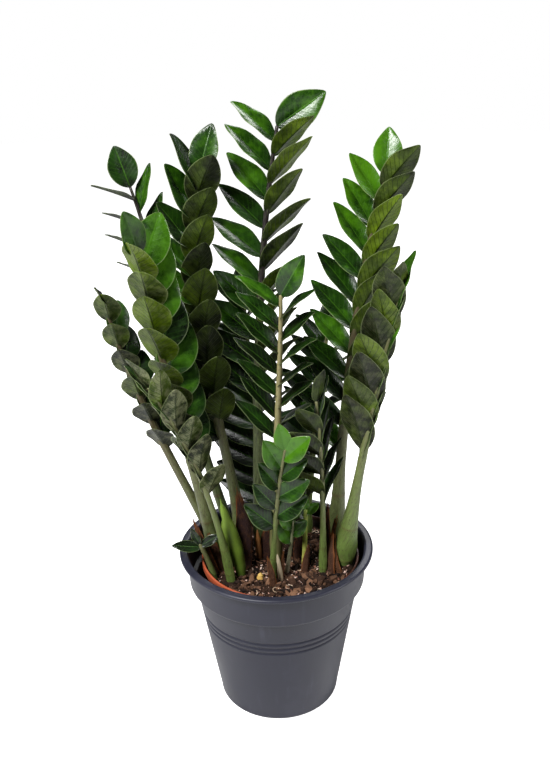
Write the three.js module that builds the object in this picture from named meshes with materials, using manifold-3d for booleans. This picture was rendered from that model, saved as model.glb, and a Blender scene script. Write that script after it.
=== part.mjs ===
// A potted ZZ plant: compound fronds that grow from tubers in a soil-filled nursery pot,
// which stands inside a larger plain outer pot. Millimetres, +Z up. The origin is the centre
// of the outer pot's flat underside, the front of the plant faces -Y.
import * as THREE from 'three';
import { mergeVertices } from 'three/addons/utils/BufferGeometryUtils.js';
import Module from 'manifold-3d';

const wasm = await Module();
wasm.setup();
const plant = new THREE.Group();
const degrees = Math.PI / 180;

// ---------------------------------------------------------------- driving dimensions

const outerPot = {
  height: 210,
  rimRadius: 120,
  lipHeight: 5,
  collarTopRadius: 112,
  collarFootRadius: 109.5,
  collarFootHeight: 165,
  bodyTopRadius: 102.5,
  baseRadius: 75.5,
  baseRounding: 7,
  wall: 2.6,
  floor: 4,
  grooveHeights: [130.5, 123, 115.5],
  grooveDepth: 1,
  grooveWidth: 3,
  segments: 32,
};

const nurseryPot = {
  centre: [5, -1.5],
  standsAt: 4.4,
  height: 193.6,
  rimRadius: 98,
  lipHeight: 9,
  lipWidth: 2.4,
  baseRadius: 66,
  wall: 1.8,
  floor: 2.5,
  segments: 32,
};

const soil = {
  top: 178,
  clearance: 0.4,
  bump: 1.8,
  ringShares: [0.35, 0.68, 0.93],
  segments: 20,
};

const plantedDepth = 14; // how far a stalk reaches into the soil
const plantingGap = 0.4; // the clear space round whatever is planted

// ---------------------------------------------------------------- materials

const plastic = (color, roughness) => new THREE.MeshStandardMaterial({ color, roughness, metalness: 0 });
const materials = {
  outerPot: plastic(0x3a3b40, 0.42),
  nurseryPot: plastic(0xa8482c, 0.55),
  soil: plastic(0x33241c, 0.95),
  frond: plastic(0x2c5a1e, 0.38),
  sheath: plastic(0x4e3129, 0.9),
  tuber: plastic(0x9a7a4c, 0.8),
};

// ---------------------------------------------------------------- solids

/** A geometry as a manifold-3d solid. */
function solidOf(geometry) {
  const bare = geometry.index ? geometry.toNonIndexed() : geometry.clone();
  for (const name of Object.keys(bare.attributes)) {
    if (name !== 'position') bare.deleteAttribute(name);
  }
  const merged = mergeVertices(bare, 1e-3);
  return new wasm.Manifold(new wasm.Mesh({
    numProp: 3,
    vertProperties: merged.attributes.position.array,
    triVerts: new Uint32Array(merged.index.array),
  }));
}

/** A manifold-3d solid as a geometry. */
function geometryOf(solid) {
  const mesh = solid.getMesh();
  const position = new Float32Array(mesh.numVert * 3);
  for (let i = 0; i < mesh.numVert; i++) {
    position.set(mesh.vertProperties.subarray(i * mesh.numProp, i * mesh.numProp + 3), i * 3);
  }
  const geometry = new THREE.BufferGeometry();
  geometry.setAttribute('position', new THREE.BufferAttribute(position, 3));
  geometry.setIndex(new THREE.BufferAttribute(mesh.triVerts, 1));
  return geometry;
}

/** A closed geometry from rings of points, with flat ends or a point for an end. */
function ringsGeometry(rings) {
  const points = [];
  const faces = [];
  const starts = rings.map((ring) => points.push(...ring) - ring.length);
  for (let k = 0; k + 1 < rings.length; k++) {
    const [lower, upper] = [rings[k], rings[k + 1]];
    const sides = Math.max(lower.length, upper.length);
    for (let i = 0; i < sides; i++) {
      const j = (i + 1) % sides;
      const at = (ring, start, index) => start + (ring.length === 1 ? 0 : index);
      const [a, b] = [at(lower, starts[k], i), at(lower, starts[k], j)];
      const [c, d] = [at(upper, starts[k + 1], j), at(upper, starts[k + 1], i)];
      if (lower.length > 1) faces.push(a, b, c);
      if (upper.length > 1) faces.push(a, c, d);
    }
  }
  const first = rings[0];
  for (let i = 1; i + 1 < first.length; i++) faces.push(starts[0], starts[0] + i + 1, starts[0] + i);
  const last = rings[rings.length - 1];
  const end = starts[rings.length - 1];
  for (let i = 1; i + 1 < last.length; i++) faces.push(end, end + i, end + i + 1);
  const geometry = new THREE.BufferGeometry();
  const numbers = points.flatMap((point) => point.toArray());
  geometry.setAttribute('position', new THREE.Float32BufferAttribute(numbers, 3));
  geometry.setIndex(faces);
  return geometry;
}

function addPiece(name, geometry, material) {
  const mesh = new THREE.Mesh(geometry, material);
  mesh.name = name;
  plant.add(mesh);
  return mesh;
}

/** Turns a profile of [radius, height] pairs about the Z axis through a centre. */
function turned(profile, segments, centre = [0, 0]) {
  const points = profile.map(([radius, height]) => new THREE.Vector2(radius, height));
  const geometry = new THREE.LatheGeometry(points, segments);
  geometry.rotateX(Math.PI / 2);
  geometry.translate(centre[0], centre[1], 0);
  return geometry;
}

// ---------------------------------------------------------------- outer pot

function outerPotProfile(p) {
  const taper = (height) => p.baseRadius + (p.bodyTopRadius - p.baseRadius) * (height / p.collarFootHeight);
  const profile = [[0, 0]];
  for (const turn of [0, 0.5, 1]) {
    const angle = turn * 90 * degrees;
    const radius = taper(p.baseRounding) - p.baseRounding * (1 - Math.sin(angle));
    profile.push([radius, p.baseRounding * (1 - Math.cos(angle))]);
  }
  for (const height of [...p.grooveHeights].reverse()) {
    profile.push([taper(height - p.grooveWidth / 2), height - p.grooveWidth / 2]);
    profile.push([taper(height) - p.grooveDepth, height]);
    profile.push([taper(height + p.grooveWidth / 2), height + p.grooveWidth / 2]);
  }
  const lipFoot = p.height - p.lipHeight;
  profile.push([p.bodyTopRadius, p.collarFootHeight]);
  profile.push([p.collarFootRadius - 2, p.collarFootHeight]);
  profile.push([p.collarFootRadius, p.collarFootHeight + 4]);
  profile.push([p.collarTopRadius, lipFoot]);
  profile.push([p.rimRadius - 1, lipFoot]);
  profile.push([p.rimRadius, lipFoot + 1.5]);
  profile.push([p.rimRadius - 1, p.height - 1]);
  profile.push([p.rimRadius - 3, p.height]);
  profile.push([p.collarTopRadius - 1, p.height]);
  profile.push([p.collarTopRadius - p.wall, p.height - 2]);
  profile.push([p.collarFootRadius - p.wall, p.collarFootHeight + 6]);
  profile.push([p.bodyTopRadius - p.wall, p.collarFootHeight + 3]);
  profile.push([taper(p.floor) - p.wall, p.floor]);
  profile.push([0, p.floor]);
  return profile;
}

addPiece('outer_pot', turned(outerPotProfile(outerPot), outerPot.segments), materials.outerPot);

// ---------------------------------------------------------------- nursery pot

function nurseryPotProfile(p) {
  const top = p.standsAt + p.height;
  const underLip = top - p.lipHeight;
  const wallTop = p.rimRadius - p.lipWidth;
  return [
    [0, p.standsAt],
    [p.baseRadius, p.standsAt],
    [wallTop, underLip],
    [p.rimRadius, underLip],
    [p.rimRadius, top],
    [p.rimRadius - p.lipWidth, top],
    [wallTop - p.wall, underLip],
    [p.baseRadius - p.wall, p.standsAt + p.floor],
    [0, p.standsAt + p.floor],
  ];
}

addPiece(
  'nursery_pot',
  turned(nurseryPotProfile(nurseryPot), nurseryPot.segments, nurseryPot.centre),
  materials.nurseryPot,
);

// ---------------------------------------------------------------- fronds

// Each frond is one compound leaf: a fleshy stalk that swells at its foot, and stalkless
// leaflets in two rows. All of them are one growth, and one solid.
//   path      the stalk from the soil to its tip: the four points of a cubic curve
//   thick     radius at the soil, at the swelling, under the first leaflets, and at the tip
//   swellAt   where the swelling is widest, as a share of the stalk's length
//   faces     compass angle the upper side looks to, 0 along +X and 90 along +Y
//   leaflets  how many, the last one at the very tip
//   from      where the lowest leaflet is, as a share of the stalk's length
//   size      length of the lowest and of the highest leaflet, width over length of both
//   rows      for both rows: angle between leaflet and stalk low down, the same at the top,
//             how far the row folds up, how far its blades turn their upper side tipwards
//   crown     the leaflet at the very tip: lean to the second side, turn about itself, length,
//             width over length
//   bend      how far a leaflet's tip curls back, as a share of its length
const fronds = [
  {
    name: 'frond_right_front',
    path: [[82, -8, 176], [97, -12, 300], [118, -28, 425], [137, -45, 540]],
    thick: [9, 14, 5.2, 2.2],
    swellAt: 0.1,
    faces: 130,
    leaflets: 16,
    from: 0.42,
    size: [88, 66, 0.45, 0.5],
    bend: 0.1,
    rows: [[22, 18, 40, 25], [27, 18, 25, 32]],
    crown: [10, 20, 48, 0.5],
  },
  {
    name: 'frond_right_back',
    path: [[76, 36, 176], [84, 39, 334], [94, 57, 495], [136, 75, 648]],
    thick: [9, 12, 6.5, 2.2],
    swellAt: 0.08,
    faces: 240,
    leaflets: 23,
    from: 0.3,
    size: [80, 70, 0.38, 0.5],
    bend: 0.1,
    rows: [[50, 44, 12, 55], [30, 26, 12, 126]],
    crown: [-14, -20, 56, 0.62],
  },
  {
    name: 'frond_centre_tall',
    path: [[-20, 40, 176], [-21, 43, 357], [-18, 68, 533], [13, 98, 702]],
    thick: [8, 9, 6, 2],
    swellAt: 0.08,
    faces: 250,
    leaflets: 20,
    from: 0.4,
    size: [80, 70, 0.4, 0.5],
    bend: 0.1,
    rows: [[54, 48, 10, 55], [38, 35, 10, 104]],
    crown: [46, -10, 64, 0.6],
  },
  {
    name: 'frond_centre_front',
    path: [[0, 2, 176], [-2, -1, 296], [10, -12, 419], [12, -25, 538]],
    thick: [6, 8, 4.4, 2],
    swellAt: 0.1,
    faces: 235,
    leaflets: 14,
    from: 0.5,
    size: [72, 62, 0.36, 0.42],
    bend: 0.1,
    rows: [[50, 56, 10, 88], [40, 40, 10, 60]],
    crown: [30, 0, 58, 0.5],
  },
  {
    name: 'frond_centre_left',
    path: [[-42, 22, 176], [-45, 28, 330], [-118, 46, 500], [-76, 60, 655]],
    thick: [8, 10, 6, 2.2],
    swellAt: 0.08,
    faces: 250,
    leaflets: 20,
    from: 0.352,
    size: [74, 66, 0.55, 0.58],
    bend: 0.1,
    rows: [[46, 30, 35, 45], [32, 26, 35, 105]],
    crown: [0, 0, 56, 0.58],
  },
  {
    name: 'frond_left_large',
    path: [[-74, 4, 176], [-90, 1, 310], [-128, -13, 455], [-138, -28, 588]],
    thick: [8, 10, 6.5, 2.2],
    swellAt: 0.08,
    faces: -5,
    leaflets: 17,
    from: 0.371,
    size: [62, 66, 0.74, 0.66],
    bend: 0.1,
    rows: [[26, 22, 15, 62], [40, 36, 45, 20]],
    crown: [-22, 50, 54, 0.55],
  },
  {
    name: 'frond_far_left',
    path: [[-68, 24, 176], [-108, 22, 284], [-165, 19, 400], [-186, 15, 516]],
    thick: [6, 7.5, 5, 2],
    swellAt: 0.08,
    faces: 5,
    leaflets: 12,
    from: 0.48,
    size: [46, 44, 0.82, 0.72],
    bend: 0.1,
    rows: [[26, 22, 15, 62], [40, 36, 45, 20]],
    crown: [-30, 0, 36, 0.45],
  },
  {
    name: 'frond_back_left',
    path: [[-48, 46, 176], [-104, 54, 325], [-113, 81, 488], [-162, 110, 635]],
    thick: [6, 7, 4, 1.6],
    swellAt: 0.08,
    faces: 290,
    leaflets: 8,
    from: 0.76,
    size: [60, 56, 0.45, 0.4],
    bend: 0.05,
    rows: [[52, 52, 15, 88], [34, 30, 15, 60]],
    crown: [0, 0, 52, 0.68],
  },
  {
    name: 'frond_back_centre',
    path: [[-8, 62, 176], [-10, 70, 290], [-28, 80, 400], [-32, 88, 500]],
    thick: [7, 8, 5, 2],
    swellAt: 0.08,
    faces: 250,
    leaflets: 22,
    from: 0.16,
    size: [74, 58, 0.5, 0.5],
    bend: 0.1,
    rows: [[62, 44, 15, 60], [58, 40, 15, 90]],
    crown: [0, 0, 50, 0.5],
  },
  {
    name: 'frond_back_right',
    path: [[40, 58, 176], [46, 66, 290], [60, 78, 380], [70, 92, 455]],
    thick: [6, 7, 4.5, 2],
    swellAt: 0.08,
    faces: 250,
    leaflets: 19,
    from: 0.15,
    size: [72, 56, 0.5, 0.5],
    bend: 0.1,
    rows: [[60, 42, 15, 60], [56, 38, 15, 90]],
    crown: [0, 0, 50, 0.5],
  },
  {
    name: 'frond_left_front_small',
    path: [[-56, -32, 176], [-67, -36, 273], [-88, -56, 370], [-132, -75, 454]],
    thick: [5.2, 5.8, 3.4, 1.8],
    swellAt: 0.1,
    faces: 60,
    leaflets: 11,
    from: 0.45,
    size: [60, 52, 0.55, 0.52],
    bend: 0.1,
    rows: [[28, 22, 25, 32], [28, 22, 25, 32]],
    crown: [-10, 20, 44, 0.5],
  },
  {
    name: 'frond_right_small',
    path: [[57, -22, 176], [57, -24, 258], [58, -31, 338], [49, -40, 418]],
    thick: [4.8, 5.2, 3.2, 1.6],
    swellAt: 0.1,
    faces: 130,
    leaflets: 11,
    from: 0.42,
    size: [60, 52, 0.5, 0.48],
    bend: 0.1,
    rows: [[42, 28, 25, 38], [42, 28, 25, 38]],
    crown: [0, 0, 44, 0.42],
  },
  {
    name: 'frond_bright_small',
    path: [[-5, -32, 176], [-3, -34, 243], [3, -41, 309], [13, -50, 364]],
    thick: [4.5, 5, 3, 1.6],
    swellAt: 0.1,
    faces: 270,
    leaflets: 9,
    from: 0.4,
    size: [48, 46, 0.52, 0.6],
    bend: 0.1,
    rows: [[44, 34, 20, 20], [44, 34, 20, 20]],
    crown: [0, 0, 42, 0.55],
  },
  {
    name: 'frond_young_small',
    path: [[12, -17, 176], [16, -20, 205], [20, -24, 232], [21, -28, 258]],
    thick: [2.6, 3, 2, 1.2],
    swellAt: 0.1,
    faces: 270,
    leaflets: 4,
    from: 0.6,
    size: [32, 32, 0.6, 0.6],
    bend: 0.05,
    rows: [[34, 26, 20, 20], [34, 26, 20, 20]],
    crown: [0, 0, 30, 0.6],
  },
  {
    name: 'frond_low_left',
    path: [[-76, -28, 176], [-80, -28, 196], [-86, -29, 216], [-92, -30, 230]],
    thick: [3.4, 4, 3, 1.6],
    swellAt: 0.2,
    faces: 270,
    leaflets: 3,
    from: 0.9,
    size: [34, 28, 0.4, 0.4],
    rows: [[60, 56, 10, 40], [80, 76, 10, 40]],
    crown: [0, 0, 24, 0.4],
    bend: 0.05,
  },
  {
    name: 'frond_sprout',
    path: [[34, -13, 176], [35, -12, 205], [36, -10, 235], [37, -9, 262]],
    thick: [3.2, 3.6, 2.8, 2],
    swellAt: 0.1,
    faces: 270,
    leaflets: 3,
    from: 0.88,
    size: [24, 22, 0.55, 0.55],
    rows: [[50, 40, 10, 20], [50, 40, 10, 20]],
    crown: [0, 0, 20, 0.5],
    bend: 0.05,
  },
];

// Leafless growth: the points of its curve, and its radius at equal steps along it.
const shoots = [
  {
    name: 'stub_green_large',
    path: [[-44, -21, 176], [-45, -19, 205], [-58, -17, 250], [-66, -14, 282]],
    radii: [5, 7.5, 9.5, 8.5, 5, 1],
    material: 'frond',
  },
  {
    name: 'stub_green_small',
    path: [[-58, 0, 176], [-59, -1, 200], [-63, -3, 225], [-66, -5, 246]],
    radii: [3.5, 4.5, 4.5, 3.5, 1],
    material: 'frond',
  },
  {
    name: 'bud_brown',
    path: [[-22, 14, 176], [-22, 12, 192], [-23, 10, 208], [-23, 8, 225]],
    radii: [3.5, 4, 3.5, 1],
    material: 'tuber',
  },
  {
    name: 'bud_yellow',
    path: [[-20, -30, 176], [-20, -30, 180], [-20, -30, 184], [-20, -31, 188]],
    radii: [5, 5, 3.5, 1],
    material: 'tuber',
  },
  {
    name: 'cut_stub_pale',
    path: [[5, -33, 176], [4, -34, 190], [3, -36, 204], [1, -38, 218]],
    radii: [3, 3, 2.4, 1.2],
    material: 'tuber',
  },
];

// Papery sheaths: curled strips that taper to a point.
//   path    three points of the curve their middle follows
//   radii   how wide the curl is at the foot, halfway and at the top
//   arcs    how far round it reaches, at the same three places
//   back    compass angle of the strip's outer side
const sheaths = [
  {
    name: 'sheath_big',
    path: [[-40, -8, 176], [-36, 6, 235], [-48, 8, 290]],
    radii: [8, 10.5, 5],
    arcs: [150, 170, 60],
    back: 285,
  },
  {
    name: 'sheath_left',
    path: [[-70, -12, 176], [-86, -15, 215], [-98, -15, 264]],
    radii: [6, 8, 5],
    arcs: [90, 130, 50],
    back: 240,
  },
  {
    name: 'sheath_curly',
    path: [[80, -26, 176], [62, -18, 222], [79, 8, 246]],
    radii: [5, 4, 3],
    arcs: [190, 200, 120],
    back: 225,
  },
  {
    name: 'sheath_pointed',
    path: [[-4, -45, 176], [-6, -45, 200], [-11, -43, 223]],
    radii: [5, 5, 2.5],
    arcs: [150, 130, 50],
    back: 265,
  },
  {
    name: 'sheath_back',
    path: [[27, 12, 176], [27, 9, 205], [33, 5, 232]],
    radii: [6, 7, 3],
    arcs: [150, 140, 50],
    back: 265,
  },
  {
    name: 'sheath_reddish',
    path: [[66, 4, 176], [65, 7, 222], [66, 10, 268]],
    radii: [4, 4, 2.5],
    arcs: [140, 130, 60],
    back: 250,
  },
];
const sheathThickness = 1.2;

const stations = [0.3, 0.7]; // where a blade's cross sections are, as shares of its length
const blade = { thickness: 0.7, fold: 0.2 };
const freeSpace = 0.8; // the least distance between the leaflets of two fronds

// A leaflet that meets another frond gives way: it takes the first of these stances that is
// clear, each one [lift added, spread added, share of its length], or doesn't grow at all.
const stances = [
  [0, 0, 1], [10, 0, 1], [-10, 0, 1], [0, -12, 1],
  [0, 12, 1], [20, 0, 1], [-20, 0, 1], [12, -14, 0.9],
  [-12, -14, 0.9], [32, 0, 0.9], [-32, 0, 0.9], [0, -24, 0.8],
  [24, -20, 0.8], [-24, -20, 0.8], [45, -10, 0.75], [-45, -10, 0.75],
];

// No two leaflets grow quite alike: how far each one may be off its row's lift, spread and roll in
// degrees, and off its length as a share of it.
const uneven = { lift: 6, spread: 5, roll: 9, length: 0.07 };

const mix = (a, b, share) => a + (b - a) * share;

/** Half the width of a blade at a share of its length, as a share of its greatest half width. */
function bladeWidth(share) {
  return Math.sin(Math.PI * share ** 0.9) ** 0.75;
}

/** The place and the directions of a stalk at a share of its length. */
function stalkFrame(frond, share) {
  const place = frond.curve.getPoint(share);
  const forward = frond.curve.getTangent(share).normalize();
  const compass = new THREE.Vector3(Math.cos(frond.faces * degrees), Math.sin(frond.faces * degrees), 0);
  const face = compass.addScaledVector(forward, -compass.dot(forward)).normalize();
  const side = new THREE.Vector3().crossVectors(forward, face);
  return { place, forward, face, side };
}

/** The stalk's radius at a share of its length. */
function stalkRadius(frond, share) {
  const [foot, swell, neck, tip] = frond.thick;
  if (share < frond.swellAt) {
    return mix(foot, swell, Math.sin((share / frond.swellAt) * 90 * degrees));
  }
  if (share < frond.from) {
    const rest = (frond.from - share) / (frond.from - frond.swellAt);
    return mix(neck, swell, rest ** 2);
  }
  return mix(neck, tip, (share - frond.from) / (1 - frond.from));
}

/** The stalk as rings along its curve, reaching down into the soil. */
function stalkGeometry(frond, grow = 0, sides = 6) {
  const shares = [0, 0.5, 1].map((s) => s * frond.swellAt);
  shares.push(...[0.35, 1].map((s) => mix(frond.swellAt, frond.from, s)));
  shares.push(...[0.25, 0.5, 0.75, 1].map((s) => mix(frond.from, 1, s)));
  const ringAt = ({ place, face, side }, radius, drop = 0) => Array.from({ length: sides }, (_, i) => {
    const angle = (i / sides) * Math.PI * 2;
    return place.clone()
      .addScaledVector(face, Math.cos(angle) * radius)
      .addScaledVector(side, Math.sin(angle) * radius)
      .add(new THREE.Vector3(0, 0, -drop));
  });
  const foot = stalkFrame(frond, 0);
  const rings = [ringAt(foot, frond.thick[0] * 0.8 + grow, plantedDepth + grow)];
  for (const share of shares) {
    rings.push(ringAt(stalkFrame(frond, share), stalkRadius(frond, share) + grow));
  }
  return ringsGeometry(rings);
}

/** How far each leaflet of a frond is off the plain order of its row. */
function unevennessOf(frond, seed) {
  const chance = seeded(seed);
  return Array.from({ length: frond.leaflets }, () => {
    const own = {};
    for (const [key, most] of Object.entries(uneven)) own[key] = (chance() * 2 - 1) * most;
    return own;
  });
}

/** Where a leaflet is attached, and which way it and its upper face point. */
function leafletFrame(frond, index, [addedLift, addedSpread, shortening]) {
  const share = index / (frond.leaflets - 1);
  const { place, forward, face, side } = stalkFrame(frond, mix(frond.from, 1, share));
  const atTip = index === frond.leaflets - 1;
  const second = index % 2 === 1 || atTip;
  const [lowSpread, topSpread, rowLift, rowRoll] = frond.rows[second ? 1 : 0];
  const [lean, turn, tipLength, tipWidth] = frond.crown;
  const [lowLength, topLength, lowWidth, topWidth] = frond.size;
  const own = frond.unevenness[index];
  const lift = ((atTip ? 0 : rowLift) + addedLift + own.lift) * degrees;
  const spread = ((atTip ? lean : mix(lowSpread, topSpread, share)) + addedSpread + own.spread) * degrees;
  const roll = ((atTip ? turn : rowRoll) + own.roll) * degrees;
  const row = second ? 1 : -1;
  const out = side.clone().multiplyScalar(row * Math.cos(lift)).addScaledVector(face, Math.sin(lift));
  const flat = face.clone().multiplyScalar(Math.cos(lift)).addScaledVector(side, -row * Math.sin(lift));
  const along = forward.clone().multiplyScalar(Math.cos(spread)).addScaledVector(out, Math.sin(spread));
  const tipward = forward.clone().multiplyScalar(Math.sin(spread)).addScaledVector(out, -Math.cos(spread));
  const upper = flat.multiplyScalar(Math.cos(roll)).addScaledVector(tipward, Math.sin(roll));
  const length = (atTip ? tipLength : mix(lowLength, topLength, share)) * shortening * (1 + own.length);
  const width = length * (atTip ? tipWidth : mix(lowWidth, topWidth, share));
  return { place, along, upper, length, width, bend: frond.bend };
}

/** One leaflet as a plain closed blade, folded along its midrib and curled back at its tip. */
function leafletGeometry({ place, along, upper, length, width, bend }) {
  const across = new THREE.Vector3().crossVectors(upper, along);
  const midrib = (share) => place.clone()
    .addScaledVector(along, length * share)
    .addScaledVector(upper, -bend * length * share ** 2);
  const at = (centre, sideways, upward) => centre.clone()
    .addScaledVector(across, sideways)
    .addScaledVector(upper, upward);
  const section = (centre, half, rise, thickness) => [
    at(centre, half, rise),
    at(centre, 0, thickness),
    at(centre, -half, rise),
    at(centre, 0, -thickness),
  ];
  const rings = [[place.clone().addScaledVector(along, -1)]];
  for (const share of stations) {
    const half = bladeWidth(share) * width / 2;
    rings.push(section(midrib(share), half, half * blade.fold, blade.thickness));
  }
  rings.push([midrib(1)]);
  return ringsGeometry(rings);
}

/** A leafless shoot as rings along its curve. */
function shootGeometry(shoot, grow = 0, sides = 6) {
  const curve = new THREE.CubicBezierCurve3(...shoot.path.map((point) => new THREE.Vector3(...point)));
  const ringAt = (centre, radius) => Array.from({ length: sides }, (_, i) => {
    const angle = (i / sides) * Math.PI * 2;
    return centre.clone().add(new THREE.Vector3(Math.cos(angle) * radius, Math.sin(angle) * radius, 0));
  });
  const foot = curve.getPoint(0).add(new THREE.Vector3(0, 0, -plantedDepth - grow));
  const rings = [ringAt(foot, shoot.radii[0] * 0.8 + grow)];
  shoot.radii.forEach((radius, i) => {
    rings.push(ringAt(curve.getPoint(i / (shoot.radii.length - 1)), radius + grow));
  });
  return ringsGeometry(rings);
}

/** A papery sheath as rings of curled strip. */
function sheathGeometry(sheath, grow = 0, steps = 4, spans = 3) {
  const curve = new THREE.QuadraticBezierCurve3(...sheath.path.map((point) => new THREE.Vector3(...point)));
  const between = ([low, middle, high], share) => (
    share < 0.5 ? mix(low, middle, share * 2) : mix(middle, high, share * 2 - 1));
  const ringAt = (centre, radius, arc) => {
    const edge = (distance, turns) => turns.map((turn) => {
      const angle = (sheath.back + arc * turn) * degrees;
      return centre.clone().add(new THREE.Vector3(Math.cos(angle) * distance, Math.sin(angle) * distance, 0));
    });
    const turns = Array.from({ length: spans + 1 }, (_, i) => i / spans - 0.5);
    return [...edge(radius + grow, turns), ...edge(radius - sheathThickness - grow, turns.reverse())];
  };
  const rings = [];
  const isPlanted = sheath.path[0][2] < soil.top;
  if (isPlanted) {
    const foot = curve.getPoint(0).add(new THREE.Vector3(0, 0, -plantedDepth / 2 - grow));
    rings.push(ringAt(foot, sheath.radii[0], sheath.arcs[0]));
  }
  for (let i = 0; i <= steps; i++) {
    const share = i / steps;
    rings.push(ringAt(curve.getPoint(share), between(sheath.radii, share), between(sheath.arcs, share)));
  }
  return ringsGeometry(rings);
}

/** The root ball: the nursery pot's inside, with an uneven top. */
function soilGeometry() {
  const { standsAt, floor, baseRadius, wall, rimRadius, lipWidth, height, lipHeight, centre } = nurseryPot;
  const low = standsAt + floor + soil.clearance;
  const wallTop = standsAt + height - lipHeight;
  const outerAt = (z) => mix(baseRadius, rimRadius - lipWidth, (z - standsAt) / (wallTop - standsAt))
    - wall - soil.clearance - 1.1;
  const chance = seeded(5);
  const ringAt = (radius, z, bump) => Array.from({ length: soil.segments }, (_, i) => {
    const angle = (i / soil.segments) * Math.PI * 2;
    const rise = (chance() * 2 - 1) * bump;
    const [across, away] = [Math.cos(angle) * radius, Math.sin(angle) * radius];
    return new THREE.Vector3(centre[0] + across, centre[1] + away, z + rise);
  });
  const edge = outerAt(soil.top);
  const rings = [ringAt(outerAt(low) - 1, low, 0), ringAt(edge, soil.top - soil.bump, 0)];
  for (const share of [...soil.ringShares].reverse()) rings.push(ringAt(edge * share, soil.top, soil.bump));
  rings.push([new THREE.Vector3(centre[0], centre[1], soil.top)]);
  return ringsGeometry(rings);
}

/** Evenly spread numbers from 0 to 1 that are the same every time. */
function seeded(seed) {
  let state = seed;
  return () => {
    state = (state * 16807) % 2147483647;
    return state / 2147483647;
  };
}

const stood = []; // every solid that a leaflet has to keep clear of, with the name it belongs to
const planted = []; // what the soil makes room for
for (const [index, frond] of fronds.entries()) {
  frond.unevenness = unevennessOf(frond, 101 + index * 37);
  frond.curve = new THREE.CubicBezierCurve3(...frond.path.map((point) => new THREE.Vector3(...point)));
  frond.stalk = solidOf(stalkGeometry(frond));
  stood.push({ name: frond.name, solid: frond.stalk });
  planted.push(solidOf(stalkGeometry(frond, plantingGap)).trimByPlane([0, 0, -1], -soil.top - 12));
}
for (const shoot of shoots) {
  const geometry = shootGeometry(shoot);
  addPiece(shoot.name, geometry, materials[shoot.material]);
  stood.push({ name: shoot.name, solid: solidOf(geometry) });
  planted.push(solidOf(shootGeometry(shoot, plantingGap)).trimByPlane([0, 0, -1], -soil.top - 12));
}
for (const sheath of sheaths) {
  const geometry = sheathGeometry(sheath);
  addPiece(sheath.name, geometry, materials.sheath);
  stood.push({ name: sheath.name, solid: solidOf(geometry) });
  const foot = solidOf(sheathGeometry(sheath, plantingGap)).trimByPlane([0, 0, -1], -soil.top - 12).hull();
  const { min, max } = foot.boundingBox();
  const [x, y] = [(min[0] + max[0]) / 2, (min[1] + max[1]) / 2];
  planted.push(foot.translate([-x, -y, 0]).scale([1.25, 1.25, 1]).translate([x, y, 0]));
}
const rootBall = solidOf(soilGeometry()).subtract(wasm.Manifold.union(planted)).simplify(0.12);
addPiece('soil', geometryOf(rootBall), materials.soil);
stood.push({ name: 'soil', solid: rootBall });

/** Whether two solids' bounding boxes come closer than a distance. */
function boxesNear(a, b, distance) {
  return [0, 1, 2].every((k) => a.min[k] < b.max[k] + distance && b.min[k] < a.max[k] + distance);
}

/** Whether a solid keeps the free space from everything that isn't its own frond. */
function isClear(name, solid) {
  const box = solid.boundingBox();
  return stood.every((other) => {
    if (other.name === name) return true;
    other.box ??= other.solid.boundingBox();
    return !boxesNear(box, other.box, freeSpace) || solid.minGap(other.solid, freeSpace * 2) >= freeSpace;
  });
}

for (const frond of fronds) {
  const blades = [];
  for (let index = 0; index < frond.leaflets; index++) {
    for (const stance of stances) {
      const solid = solidOf(leafletGeometry(leafletFrame(frond, index, stance)));
      if (isClear(frond.name, solid)) {
        blades.push(solid);
        break;
      }
    }
  }
  blades.forEach((solid) => stood.push({ name: frond.name, solid }));
  const grown = wasm.Manifold.union([frond.stalk, ...blades]).simplify(0.05);
  addPiece(frond.name, geometryOf(grown), materials.frond);
}

export default plant;
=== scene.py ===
# A potted ZZ plant. The shapes are worked out in millimetres, +Z up, front towards -Y,
# and turned to metres when each mesh is made.
import math
import random

import bmesh
import bpy
from mathutils import Matrix, Vector, noise
from mathutils.kdtree import KDTree


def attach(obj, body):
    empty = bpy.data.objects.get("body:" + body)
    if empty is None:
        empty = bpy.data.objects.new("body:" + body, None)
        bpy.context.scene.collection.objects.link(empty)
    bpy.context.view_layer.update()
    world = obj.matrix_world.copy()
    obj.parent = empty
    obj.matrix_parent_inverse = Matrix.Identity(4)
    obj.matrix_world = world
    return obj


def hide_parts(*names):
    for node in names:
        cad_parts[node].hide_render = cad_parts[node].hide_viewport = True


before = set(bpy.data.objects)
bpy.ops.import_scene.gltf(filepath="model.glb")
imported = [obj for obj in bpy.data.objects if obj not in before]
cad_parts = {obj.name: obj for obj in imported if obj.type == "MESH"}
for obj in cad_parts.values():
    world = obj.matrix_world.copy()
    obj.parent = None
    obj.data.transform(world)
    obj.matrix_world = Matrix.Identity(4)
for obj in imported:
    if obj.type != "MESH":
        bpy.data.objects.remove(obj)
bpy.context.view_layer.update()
mm = 0.001


def mix(a, b, share):
    return a + (b - a) * share


def clamp(value):
    return max(0.0, min(1.0, value))


def polar(angle, radius, height=0.0):
    return Vector((math.cos(angle) * radius, math.sin(angle) * radius, height))


def tint(red, green, blue):
    # a colour given as 0 to 255 on screen, as the shader wants it
    screen = [level / 255 for level in (red, green, blue)]
    return (*[c / 12.92 if c < 0.0404 else ((c + 0.055) / 1.055) ** 2.4 for c in screen], 1.0)


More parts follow.
